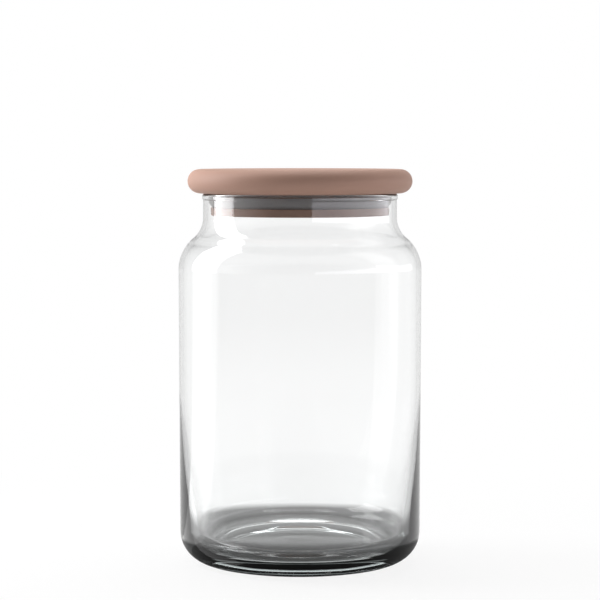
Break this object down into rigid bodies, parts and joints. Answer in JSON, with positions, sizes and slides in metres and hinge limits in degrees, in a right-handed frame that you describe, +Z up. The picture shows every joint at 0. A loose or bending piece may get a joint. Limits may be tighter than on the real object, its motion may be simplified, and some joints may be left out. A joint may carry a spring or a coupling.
{
  "type": "glass storage jar with wooden lid",
  "caption": "Clear glass storage jar with round shoulders and a heavy base, closed by a turned wooden lid whose plug carries a silicone seal.",
  "frame": {"origin": "centre of the circle that the jar stands on, at the height of the table", "axes": "+Z up along the jar's axis, +X to the right and -Y towards the viewer in the picture; the jar is round, so the turn about Z is free"},
  "size_m": [0.104, 0.104, 0.1684],
  "materials": {
    "clear_glass": "clear, smooth and glossy, with a faint blue-green tint in thick places",
    "beech": "fine sanded, unvarnished, with short flecks",
    "silicone": "translucent, smooth, satin"
  },
  "bodies": {
    "jar": {"glass_jar": "clear_glass"},
    "lid": {"wooden_lid": "beech", "silicone_seal": "silicone"}
  },
  "joints": [
    {"name": "lid_lift", "type": "slide", "parent": "jar", "child": "lid", "axis": [0, 0, 1], "range_m": [0, 0.11]}
  ]
}
